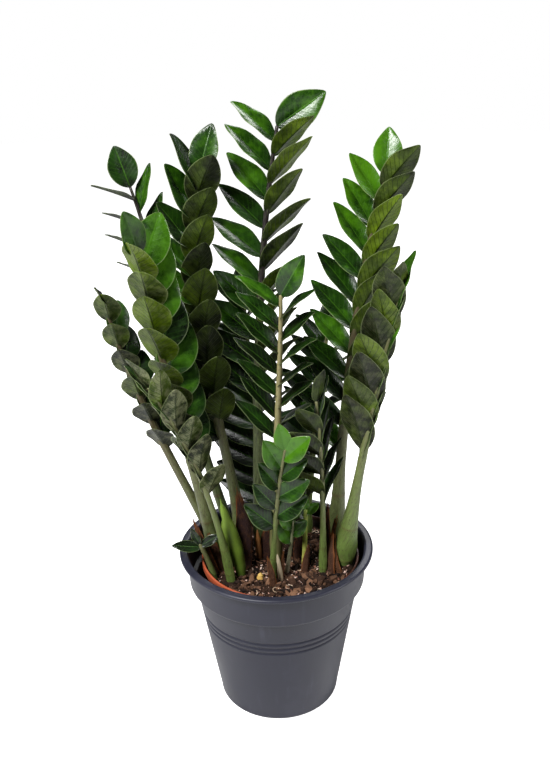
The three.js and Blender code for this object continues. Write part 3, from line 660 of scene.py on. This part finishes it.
def leafMaterial(name, underside):
    look = leafColours["underside" if underside else "upper"]
    material, tree, shader = newMaterial(name, roughness=look["roughness"], specular=look["specular"],
                                         coat=look["coat"], coatRoughness=0.25)
    split = node(tree, "ShaderNodeSeparateXYZ", {0: grain(tree)})
    u, v = split.outputs[0], split.outputs[1]
    across = maths(tree, "ABSOLUTE", maths(tree, "MULTIPLY_ADD", v, 2.0, -1.0))
    age = tone(tree, "colour")
    own = tone(tree, "tone")
    cloudy = noiseOf(tree, 38, 4, 0.6)
    fine = noiseOf(tree, 420, 3, 0.6)
    blotch = noiseOf(tree, 95, 5, 0.7)
    value = maths(tree, "MULTIPLY_ADD", own, 0.7, maths(tree, "MULTIPLY_ADD", cloudy, 1.5, -1.17))
    value = maths(tree, "ADD", value, maths(tree, "MULTIPLY_ADD", blotch, 0.9, -0.45))
    # the foot of each leaflet is darkened towards the stalk: painted shade
    foot = maths(tree, "MULTIPLY", look["paintedFootShade"], fall(tree, u, 0.0, 0.35))
    value = maths(tree, "ADD", value, maths(tree, "SUBTRACT", age, foot))
    colour = ramp(tree, value, [(0.0, look["dark"]), (0.5, look["middle"]), (1.0, look["bright"])])
    # grey patches over the leaflets: pale mottling and painted glare
    bloom = maths(tree, "MULTIPLY", tone(tree, "bloom"), step(tree, blotch, 0.42, 0.62))
    colour = overlay(tree, bloom, look["glareMottleShow"], colour, look["bloom"])
    colour = overlay(tree, step(tree, fine, 0.52, 0.72), look["speck"], colour, look["vein"])
    side = veins(tree, u, across, 9.5, 2.4)
    inner = maths(tree, "MULTIPLY", side, fall(tree, across, 0.75, 1.0))
    colour = overlay(tree, inner, look["veinShow"], colour, look["vein"])
    rib = fall(tree, across, 0.02, look["ribWidth"])
    colour = overlay(tree, rib, look["ribShow"], colour, look["rib"])
    # a pale band along each leaflet's edge: a painted highlight where the rim catches the light
    colour = overlay(tree, step(tree, across, 0.93, 0.99), look["rimHighlightShow"], colour, look["margin"])
    rough = maths(tree, "MULTIPLY_ADD", cloudy, 0.16, look["roughness"] - 0.08)
    rough = maths(tree, "MULTIPLY_ADD", fine, 0.06, rough)
    relief = maths(tree, "MULTIPLY_ADD", side, look["veinRelief"], maths(tree, "MULTIPLY", fine, 0.35))
    relief = maths(tree, "MULTIPLY_ADD", rib, look["ribRelief"], relief)
    relief = maths(tree, "MULTIPLY_ADD", cloudy, 2.5, maths(tree, "ADD", relief, blotch))
    dress(tree, shader, colour, rough, relief, look["relief"], 0.0011)
    return material


# the Show values are how strongly a feature is coloured, and the Relief ones how far it stands out
leafColours = dict(
    upper=dict(
        dark=tint(6, 16, 3), middle=tint(24, 56, 4), bright=tint(66, 116, 8), vein=tint(58, 100, 24),
        rib=tint(74, 124, 30), margin=tint(140, 164, 104), bloom=tint(120, 136, 110), glareMottleShow=0.12,
        paintedFootShade=0.25, speck=0.04, veinShow=0.26, veinRelief=-0.2, ribWidth=0.05, ribShow=0.5,
        ribRelief=-0.6, rimHighlightShow=0.5, relief=0.32, roughness=0.26, specular=0.36, coat=0.18),
    underside=dict(
        dark=tint(18, 25, 2), middle=tint(58, 77, 4), bright=tint(104, 130, 8), vein=tint(36, 50, 8),
        rib=tint(34, 46, 10), margin=tint(128, 142, 92), bloom=tint(136, 138, 104), glareMottleShow=1.0,
        paintedFootShade=0.35, speck=0.15, veinShow=0.6, veinRelief=0.6, ribWidth=0.06, ribShow=0.8,
        ribRelief=0.9, rimHighlightShow=0.5, relief=0.55, roughness=0.4, specular=0.28, coat=0.06))
leafUpper = leafMaterial("leafUpper", False)
leafUnderside = leafMaterial("leafUnderside", True)


stalkColours = dict(
    light=dict(low=tint(98, 120, 56), high=tint(108, 108, 72), fleck=tint(58, 52, 34)),
    olive=dict(low=tint(96, 106, 62), high=tint(84, 74, 52), fleck=tint(44, 40, 28)),
    beige=dict(low=tint(112, 112, 70), high=tint(146, 138, 96), fleck=tint(76, 66, 44)),
    dark=dict(low=tint(84, 96, 54), high=tint(34, 26, 26), fleck=tint(34, 30, 22)),
    grey=dict(low=tint(146, 140, 118), high=tint(120, 124, 92), fleck=tint(88, 78, 62)),
    yellow=dict(low=tint(186, 178, 92), high=tint(146, 164, 72), fleck=tint(120, 104, 58)))


def stalkMaterial(name, look):
    material, tree, shader = newMaterial(name, roughness=0.42, specular=0.4)
    vector = grain(tree)
    rise = tone(tree, "rise")
    streaks = noiseOf(tree, 3.2, 5, 0.65, vector=vector, stretch=(1.3, 0.22, 1))
    flecks = noiseOf(tree, 3.4, 5, 0.6, vector=vector, stretch=(1.4, 0.7, 1))
    cloudy = noiseOf(tree, 2.0, 3, 0.5, vector=vector)
    up = maths(tree, "MULTIPLY_ADD", cloudy, 0.35, maths(tree, "SUBTRACT", rise, 0.17))
    colour = ramp(tree, up, [(0.08, look["low"]), (0.62, look["high"])])
    pale = [min(1, c * 1.45 + 0.02) for c in look["low"][:3]] + [1]
    deep = [c * 0.6 for c in look["high"][:3]] + [1]
    colour = overlay(tree, step(tree, streaks, 0.5, 0.7), 0.55, colour, pale)
    low = fall(tree, streaks, 0.3, 0.5)
    colour = overlay(tree, low, 0.7, colour, deep)
    colour = overlay(tree, step(tree, flecks, 0.57, 0.66), 0.7, colour, look["fleck"])
    colour = overlay(tree, tone(tree, "scar"), 0.4, colour, tint(92, 66, 44))
    rough = maths(tree, "MULTIPLY_ADD", streaks, 0.22, 0.3)
    relief = maths(tree, "MULTIPLY_ADD", flecks, 0.4, streaks)
    dress(tree, shader, colour, rough, relief, 0.35, 0.0012)
    return material


stalkSkins = {name: stalkMaterial("stalk" + name.capitalize(), look)
              for name, look in stalkColours.items()}


def makeStalk(frond, scars):
    # rings along the curve, closer together where the leaf scars are, and a little thicker at the scars
    # and the nodes
    sides = 18
    count = max(24, int((Vector(frond["path"][3]) - Vector(frond["path"][0])).length / 5))
    shape = dict(points=[], faces=[], uvs=[], rise=[], scar=[])
    nodes = [mix(frond["start"], 1, i / (frond["leaflets"] - 1)) for i in range(frond["leaflets"])]
    shares = [i / count for i in range(count + 1)] + [s + d for s in scars for d in (-0.006, 0, 0.006)]
    shares = sorted(set(shares))
    travelled, before = 0.0, None
    rings = []
    for share in [-1] + shares:
        centre, _, ringFace, ringSide = stalkFrame(frond, max(share, 0))
        radius = stalkRadius(frond, max(share, 0))
        if share < 0:
            centre = centre - Vector((0, 0, plantedDepth))
            radius *= 0.85
        travelled += (centre - before).length / 10 if before else 0
        before = centre
        mark = max([math.exp(-((share - s) / 0.004) ** 2) for s in scars] + [0])
        knot = max([math.exp(-((share - s) / 0.006) ** 2) for s in nodes] + [0]) if share > 0.2 else 0
        ring = []
        for i in range(sides + 1):
            angle = math.tau * i / sides
            uneven = 1 + 0.035 * noise.noise(polar(angle, 1, travelled * 0.25))
            size = radius * uneven * (1 + 0.05 * mark + 0.07 * knot)
            ring.append(len(shape["points"]))
            outward = ringFace * math.cos(angle) + ringSide * math.sin(angle)
            shape["points"].append(centre + outward * size)
            shape["uvs"].append((angle * radius / 10, travelled))
            shape["rise"].append(clamp(share))
            shape["scar"].append(mark)
        rings.append(ring)
    shape["faces"] += bands(rings) + [tuple(rings[0][:sides][::-1])]
    tip = len(shape["points"])
    end, forward = curvePoint(frond["path"], 1), curveForward(frond["path"], 1)
    shape["points"].append(end + forward * frond["thick"][3] * 0.8)
    shape["uvs"].append((0, travelled))
    shape["rise"].append(1)
    shape["scar"].append(0)
    for i in range(sides):
        shape["faces"].append((rings[-1][i], rings[-1][i + 1], tip))
    return shape


def closeSeams(piece):
    # joins the points that lie on one another, within 0.02 mm, and keeps the texture's own seam
    shape = bmesh.new()
    shape.from_mesh(piece.data)
    bmesh.ops.remove_doubles(shape, verts=shape.verts, dist=0.02 * mm)
    shape.to_mesh(piece.data)
    shape.free()


def pieceName(name, ending):
    words = name.replace("frond_", "").split("_")
    return words[0] + "".join(word.capitalize() for word in words[1:]) + ending


def makeFrond(name, number):
    frond, look = fronds[name], frondLooks[name]
    chance = random.Random(100 + number)
    off = seeded(101 + number * 37)
    frond["unevenness"] = [{key: (next(off) * 2 - 1) * most for key, most in uneven.items()}
                           for _ in range(frond["leaflets"])]
    leaflets = dict(points=[], faces=[], skins=[], uvs=[], tone=[], rise=[])
    for leaf in leafletsOf(name, frond):
        addLeaflet(leaflets, leaf, look, chance)
    colours = [clamp(look["colour"] + look.get("fade", 0.3) * (rise - 0.6)) for rise in leaflets["rise"]]
    glareMottles = [look.get("bloom", 0.05)] * len(colours)
    piece = buildMesh(pieceName(name, "Leaflets"), leaflets["points"], leaflets["faces"],
                      [leafUpper, leafUnderside], leaflets["skins"], leaflets["uvs"],
                      dict(tone=leaflets["tone"], colour=colours, bloom=glareMottles))
    place(piece, "frond_green", name)
    scars = [at for at in (0.05, 0.17) if at < frond["start"] - 0.05]  # rings where old sheaths were
    stalk = makeStalk(frond, scars)
    piece = buildMesh(pieceName(name, "Stalk"), stalk["points"], stalk["faces"],
                      [stalkSkins[look["stalk"]]], None, stalk["uvs"],
                      dict(rise=stalk["rise"], scar=stalk["scar"]))
    closeSeams(piece)
    place(piece, "frond_green")


for number, name in enumerate(fronds):
    makeFrond(name, number)
print("fronds")


shoots = {
    "stub_green_large": dict(
        path=[[-44, -21, 176], [-45, -19, 205], [-58, -17, 250], [-66, -14, 282]],
        radii=[5, 7.5, 9.5, 8.5, 5, 1]),
    "stub_green_small": dict(
        path=[[-58, 0, 176], [-59, -1, 200], [-63, -3, 225], [-66, -5, 246]],
        radii=[3.5, 4.5, 4.5, 3.5, 1]),
    "bud_brown": dict(
        path=[[-22, 14, 176], [-22, 12, 192], [-23, 10, 208], [-23, 8, 225]],
        radii=[3.5, 4, 3.5, 1]),
    "bud_yellow": dict(
        path=[[-20, -30, 176], [-20, -30, 180], [-20, -30, 184], [-20, -31, 188]],
        radii=[5, 5, 3.5, 1]),
    "cut_stub_pale": dict(
        path=[[5, -33, 176], [4, -34, 190], [3, -36, 204], [1, -38, 218]],
        radii=[3, 3, 2.4, 1.2]),
}
sheaths = {
    "sheath_big": dict(
        path=[[-40, -8, 176], [-36, 6, 235], [-48, 8, 290]],
        radii=[8, 10.5, 5], arcs=[150, 170, 60], back=285),
    "sheath_left": dict(
        path=[[-70, -12, 176], [-86, -15, 215], [-98, -15, 264]],
        radii=[6, 8, 5], arcs=[90, 130, 50], back=240),
    "sheath_curly": dict(
        path=[[80, -26, 176], [62, -18, 222], [79, 8, 246]],
        radii=[5, 4, 3], arcs=[190, 200, 120], back=225),
    "sheath_pointed": dict(
        path=[[-4, -45, 176], [-6, -45, 200], [-11, -43, 223]],
        radii=[5, 5, 2.5], arcs=[150, 130, 50], back=265),
    "sheath_back": dict(
        path=[[27, 12, 176], [27, 9, 205], [33, 5, 232]],
        radii=[6, 7, 3], arcs=[150, 140, 50], back=265),
    "sheath_reddish": dict(
        path=[[66, 4, 176], [65, 7, 222], [66, 10, 268]],
        radii=[4, 4, 2.5], arcs=[140, 130, 60], back=250),
}


# scraps of old sheath around the feet of the stalks, too small to have a solid
husks = dict(
    huskRight=dict(
        path=[[72, -22, 176], [66, -18, 206], [74, -10, 236]],
        radii=[8, 9, 5], arcs=[110, 140, 60], back=215),
    huskCentre=dict(
        path=[[3, -30, 176], [5, -29, 198], [8, -30, 220]],
        radii=[5.5, 5, 2], arcs=[150, 110, 40], back=300),
    huskLeft=dict(
        path=[[-70, 0, 176], [-76, -2, 206], [-84, -4, 238]],
        radii=[11, 11.5, 8], arcs=[100, 90, 40], back=275),
    huskBack=dict(
        path=[[-12, 22, 176], [-12, 20, 202], [-9, 17, 232]],
        radii=[10, 10, 6], arcs=[150, 150, 60], back=265),
    huskSprout=dict(
        path=[[34, -16, 176], [36, -15, 198], [40, -13, 222]],
        radii=[6.5, 6, 3], arcs=[140, 120, 40], back=280))

# 0 is a young orange-brown sheath and 1 an old purple-brown one
sheathAges = dict(sheath_big=1.0, sheath_left=0.35, sheath_curly=0.1, sheath_pointed=0.3, sheath_back=0.8,
                  sheath_reddish=0.5, huskRight=0.5, huskCentre=0.0, huskLeft=0.3, huskBack=0.9,
                  huskSprout=0.4)


def skinMaterial(name, low, high, fleck, roughness):
    material, tree, shader = newMaterial(name, roughness=roughness, specular=0.4)
    vector = grain(tree)
    rise = tone(tree, "rise")
    streaks = noiseOf(tree, 3.5, 5, 0.65, vector=vector, stretch=(5, 0.8, 1))
    cloudy = noiseOf(tree, 5, 4, 0.6, vector=vector)
    colour = ramp(tree, maths(tree, "MULTIPLY_ADD", cloudy, 0.5, maths(tree, "SUBTRACT", rise, 0.25)),
                  [(0.1, low), (0.8, high)])
    colour = overlay(tree, step(tree, streaks, 0.5, 0.75), 0.5, colour, fleck)
    rough = maths(tree, "MULTIPLY_ADD", cloudy, 0.25, roughness - 0.12)
    dress(tree, shader, colour, rough, maths(tree, "ADD", streaks, cloudy), 0.4, 0.001)
    return material


shootSkins = dict(
    stub_green_large=("frond_green", skinMaterial("stubGreen", tint(84, 108, 38), tint(124, 152, 52),
                                                   tint(72, 96, 34), 0.4)),
    bud_brown=("tuber_skin", skinMaterial("budBrown", tint(120, 84, 52), tint(176, 118, 66),
                                          tint(84, 58, 40), 0.7)),
    bud_yellow=("tuber_skin", skinMaterial("budYellow", tint(196, 152, 76), tint(226, 188, 104),
                                           tint(160, 120, 66), 0.5)),
    cut_stub_pale=("tuber_skin", skinMaterial("cutStub", tint(168, 150, 122), tint(206, 192, 160),
                                              tint(120, 98, 74), 0.7)))
shootSkins["stub_green_small"] = shootSkins["stub_green_large"]


def makeShoot(name, number):
    shoot = shoots[name]
    slot, material = shootSkins[name]
    sides, count = 20, 30
    points, uvs, rises, rings = [], [], [], []
    radii = shoot["radii"]
    for k in range(-1, count + 1):
        share = max(k, 0) / count
        at = share * (len(radii) - 1)
        low = min(int(at), len(radii) - 2)
        ease = at - low
        radius = mix(radii[low], radii[low + 1], ease * ease * (3 - 2 * ease))
        radius *= math.sqrt(clamp((1.02 - share) * 8))
        centre = curvePoint(shoot["path"], share)
        if k < 0:
            centre = centre - Vector((0, 0, plantedDepth))
        ring = []
        for i in range(sides + 1):
            angle = math.tau * i / sides
            size = radius * (1 + 0.05 * noise.noise(polar(angle, 1.5, share * 4 + number)))
            ring.append(len(points))
            points.append(centre + polar(angle, size))
            uvs.append((angle * 1.2, share * 8))
            rises.append(share)
        rings.append(ring)
    piece = buildMesh(pieceName(name, ""), points, capped(rings), [material], None, uvs, dict(rise=rises))
    closeSeams(piece)
    place(piece, slot, name)


def paperMaterial():
    material, tree, shader = newMaterial("sheathPaper", roughness=0.8, specular=0.2)
    vector = grain(tree)
    fibres = noiseOf(tree, 9, 6, 0.7, vector=vector, stretch=(5, 0.35, 1))
    patches = noiseOf(tree, 1.6, 4, 0.6, vector=vector)
    edge = tone(tree, "edge")
    old = maths(tree, "MULTIPLY", tone(tree, "age"), step(tree, patches, 0.2, 0.6))
    colour = ramp(tree, fibres, [(0.28, tint(50, 32, 24)), (0.5, tint(112, 74, 50)),
                                 (0.75, tint(172, 126, 84))])
    aged = ramp(tree, fibres, [(0.28, tint(30, 19, 22)), (0.5, tint(62, 42, 44)),
                               (0.78, tint(120, 88, 76))])
    colour = mixColours(tree, old, colour, aged)
    colour = overlay(tree, step(tree, patches, 0.55, 0.72), 0.4, colour, tint(122, 74, 44))
    colour = overlay(tree, edge, 0.7, colour, tint(190, 112, 56))
    rough = maths(tree, "MULTIPLY_ADD", fibres, 0.3, 0.6)
    dress(tree, shader, colour, rough, fibres, 1.0, 0.003)
    return material


sheathPaper = paperMaterial()


def makeSheath(name, sheath, seed, replace=True):
    # a curled strip with a torn upper edge
    chance = random.Random(seed)
    across, steps, thickness = 22, 30, 0.5
    offset = Vector((chance.random() * 50, chance.random() * 50, 0))
    points, uvs, edges, faces = [], [], [], []

    def between(values, share):
        if share < 0.5:
            return mix(values[0], values[1], share * 2)
        return mix(values[1], values[2], share * 2 - 1)

    torn = [1 - 0.34 * abs(noise.noise(offset + Vector((i * 0.8, 0, 0)))) - 0.16 * abs(i / across - 0.5)
            for i in range(across + 1)]
    layers = []
    for inward in (0, thickness):
        grid = []
        for k in range(-1, steps + 1):
            row = []
            for i in range(across + 1):
                share = max(k, 0) / steps * torn[i]
                turn = i / across - 0.5
                centre = curvePoint(sheath["path"], share)
                radius = between(sheath["radii"], share)
                angle = math.radians(sheath["back"] + between(sheath["arcs"], share) * turn)
                crumple = 1.5 * noise.noise(offset + Vector((turn * 4.2, share * 6, 0)))
                size = radius - 0.3 - inward - abs(crumple) * 0.8
                if k < 0:
                    centre = centre - Vector((0, 0, plantedDepth * 0.7))
                row.append(len(points))
                points.append(centre + polar(angle, size))
                uvs.append((turn * 2.4 + seed, share * 7))
                edges.append(clamp(max(abs(turn) * 2 - 0.78, share / torn[i] - 0.86) * 6))
            grid.append(row)
        layers.append(grid)
    outer, inner = layers
    for k in range(len(outer) - 1):
        for i in range(across):
            faces.append((outer[k][i], outer[k][i + 1], outer[k + 1][i + 1], outer[k + 1][i]))
            faces.append((inner[k][i + 1], inner[k][i], inner[k + 1][i], inner[k + 1][i + 1]))
        faces.append((inner[k][0], outer[k][0], outer[k + 1][0], inner[k + 1][0]))
        faces.append((outer[k][across], inner[k][across], inner[k + 1][across], outer[k + 1][across]))
    for i in range(across):
        faces.append((outer[0][i + 1], outer[0][i], inner[0][i], inner[0][i + 1]))
        faces.append((outer[-1][i], outer[-1][i + 1], inner[-1][i + 1], inner[-1][i]))
    ages = [sheathAges[name]] * len(points)
    piece = buildMesh(pieceName(name, ""), points, faces, [sheathPaper], None, uvs,
                      dict(edge=edges, age=ages))
    place(piece, "sheath_paper", *([name] if replace else []))


for number, name in enumerate(shoots):
    makeShoot(name, number)
for number, name in enumerate(sheaths):
    makeSheath(name, sheaths[name], 40 + number)
for number, name in enumerate(husks):
    makeSheath(name, husks[name], 60 + number, replace=False)
print("shoots and sheaths")


soil = dict(top=178, centre=(5, -1.5), foot=7.3, footRadius=62.4, edgeRadius=91.5, rings=70, spokes=200,
            bark=620, grit=820, roots=34, heaped=10)
# where the stalks and shoots stand, and how thick they are there
stalkFeet = [(f["path"][0][0], f["path"][0][1], f["thick"][0]) for f in fronds.values()]
stalkFeet += [(s["path"][0][0], s["path"][0][1], s["radii"][0]) for s in shoots.values()]


def soilMaterial():
    material, tree, shader = newMaterial("pottingMix", roughness=0.95, specular=0.15)
    cloudy = noiseOf(tree, 60, 5, 0.65)
    fine = noiseOf(tree, 600, 5, 0.7)
    colour = ramp(tree, fine, [(0.3, tint(20, 13, 9)), (0.5, tint(46, 31, 23)), (0.66, tint(88, 64, 50))])
    colour = overlay(tree, step(tree, cloudy, 0.45, 0.65), 0.6, colour, tint(30, 20, 14))
    rough = maths(tree, "MULTIPLY_ADD", cloudy, 0.15, 0.82)
    dress(tree, shader, colour, rough, maths(tree, "ADD", fine, cloudy), 1.0, 0.002)
    return material


def soilHeight(x, y):
    where = Vector((x, y, 0))
    rise = 1.6 * noise.noise(where / 21) + 1.3 * noise.noise(where / 7 + Vector((9, 4, 0)))
    rise += 0.9 * noise.noise(where / 2.6 + Vector((3, 1, 5)))
    for foot in stalkFeet:
        distance = math.hypot(x - foot[0], y - foot[1]) - foot[2]
        rise += 1.6 * math.exp(-(max(distance, 0) / 6) ** 2)
    away = math.hypot(x - soil["centre"][0], y - soil["centre"][1]) / soil["edgeRadius"]
    rise += soil["heaped"] * clamp((x * 0.8 + y) / 60)
    return soil["top"] + rise * clamp((1.05 - away) * 12) - 1.2 * away ** 6


def makeSoil():
    cx, cy = soil["centre"]
    spokes = soil["spokes"]
    points, rings = [(cx, cy, soilHeight(cx, cy))], []

    def addRing(radius, height=None):
        start = len(points)
        rings.append(list(range(start, start + spokes)) + [start])
        for i in range(spokes):
            angle = math.tau * i / spokes
            x, y = cx + radius * math.cos(angle), cy + radius * math.sin(angle)
            points.append((x, y, soilHeight(x, y) if height is None else height))

    for k in range(soil["rings"]):
        addRing(soil["edgeRadius"] * ((k + 1) / soil["rings"]) ** 0.85)
    addRing(soil["footRadius"], soil["foot"])
    faces = [(0, rings[0][i], rings[0][i + 1]) for i in range(spokes)]
    for inner, outer in zip(rings, rings[1:]):
        faces += [(inner[i], outer[i], outer[i + 1], inner[i + 1]) for i in range(spokes)]
    faces.append(tuple(rings[-1][:-1][::-1]))
    place(buildMesh("pottingMix", points, faces, [soilMaterial()]), "potting_mix", "soil")


def freeSpot(chance, reach):
    while True:
        angle = chance.random() * math.tau
        away = math.sqrt(chance.random()) * (soil["edgeRadius"] - 3 - reach)
        x, y = soil["centre"][0] + away * math.cos(angle), soil["centre"][1] + away * math.sin(angle)
        if all(math.hypot(x - f[0], y - f[1]) > f[2] + reach * 0.6 for f in stalkFeet):
            return x, y


def chunk(shape, chance, centre, size, flatness):
    # one irregular lump: a few rings of points, pushed about
    tilt = Vector((chance.uniform(-1, 1), chance.uniform(-1, 1), chance.uniform(-1, 1))).normalized()
    turn = tilt.rotation_difference(Vector((0, 0, 1)))
    lumpTone = chance.random()
    seed = Vector((chance.random() * 99, chance.random() * 99, 0))
    sides, rows, rings = chance.choice((5, 6, 7)), 4, []
    for k in range(rows + 1):
        start = len(shape["points"])
        rings.append(list(range(start, start + sides)) + [start])
        lift = -1 + 2 * k / rows
        width = math.sqrt(max(0.0, 1 - abs(lift) ** 2.6)) if 0 < k < rows else 0.45
        for i in range(sides):
            angle = math.tau * i / sides
            point = Vector((math.cos(angle) * width * size[0], math.sin(angle) * width * size[1],
                            lift * size[2] * flatness))
            point *= 1 + 0.85 * noise.noise(seed + point * (1.7 / max(size)))
            shape["points"].append(centre + turn @ point)
            shape["tone"].append(lumpTone)
    shape["faces"] += capped(rings)


def lumpMaterial(name, dark, middle, pale, roughness):
    material, tree, shader = newMaterial(name, roughness=roughness, specular=0.25)
    own = tone(tree, "tone")
    fine = noiseOf(tree, 500, 4, 0.65)
    cloudy = noiseOf(tree, 130, 3, 0.6)
    value = maths(tree, "MULTIPLY_ADD", fine, 0.5, maths(tree, "MULTIPLY_ADD", own, 0.9, -0.25))
    colour = ramp(tree, value, [(0.1, dark), (0.5, middle), (0.95, pale)])
    rough = maths(tree, "MULTIPLY_ADD", cloudy, 0.2, roughness - 0.1)
    dress(tree, shader, colour, rough, maths(tree, "ADD", fine, cloudy), 0.7, 0.0008)
    return material


def makeBits(name, count, seed, sizes, flatness, material):
    chance = random.Random(seed)
    shape = dict(points=[], faces=[], tone=[])
    for _ in range(count):
        size = mix(sizes[0], sizes[1], chance.random() ** 2.2)
        x, y = freeSpot(chance, size)
        lift = size * chance.uniform(-0.1, 0.28)
        chunk(shape, chance, Vector((x, y, soilHeight(x, y) + lift)),
              (size, size * chance.uniform(0.4, 0.85), size * chance.uniform(0.3, 0.75)), flatness)
    piece = buildMesh(name, shape["points"], shape["faces"], [material], None, None,
                      dict(tone=shape["tone"]), smooth=False)
    place(piece, "potting_mix")


def makeRoots():
    chance = random.Random(77)
    points, faces, tones = [], [], []
    for _ in range(soil["roots"]):
        x, y = freeSpot(chance, 4)
        heading, curl = chance.random() * math.tau, chance.uniform(-0.6, 0.6)
        radius, sides = chance.uniform(0.4, 0.85), 7
        ownTone = chance.random()
        centre = Vector((x, y, soilHeight(x, y) - 0.5))
        rings = []
        count = chance.randint(7, 13)
        for k in range(count + 1):
            share = k / count
            heading += curl + chance.uniform(-0.15, 0.15)
            centre = centre + polar(heading, 1) * 1.7
            centre.z = soilHeight(centre.x, centre.y) + radius * 0.7 + 1.6 * math.sin(share * math.pi)
            across = Vector((-math.sin(heading), math.cos(heading), 0))
            size = radius * (1 - 0.6 * share)
            start = len(points)
            rings.append(list(range(start, start + sides)) + [start])
            for i in range(sides):
                angle = math.tau * i / sides
                points.append(centre + (across * math.cos(angle) + Vector((0, 0, math.sin(angle)))) * size)
            tones += [ownTone] * sides
        faces += capped(rings[::-1])
    material = lumpMaterial("rootSkin", tint(190, 160, 130), tint(220, 196, 170), tint(240, 224, 204), 0.6)
    place(buildMesh("rootEnds", points, faces, [material], None, None, dict(tone=tones)), "tuber_skin")


makeSoil()
makeBits("barkChips", soil["bark"], 11, (2.0, 7.6), 0.65,
         lumpMaterial("barkChip", tint(22, 13, 9), tint(62, 41, 29), tint(134, 98, 74), 0.85))
makeBits("grit", soil["grit"], 12, (0.6, 2.4), 0.9,
         lumpMaterial("gritStone", tint(128, 84, 68), tint(200, 158, 140), tint(236, 214, 202), 0.7))
makeRoots()
print("potting mix")
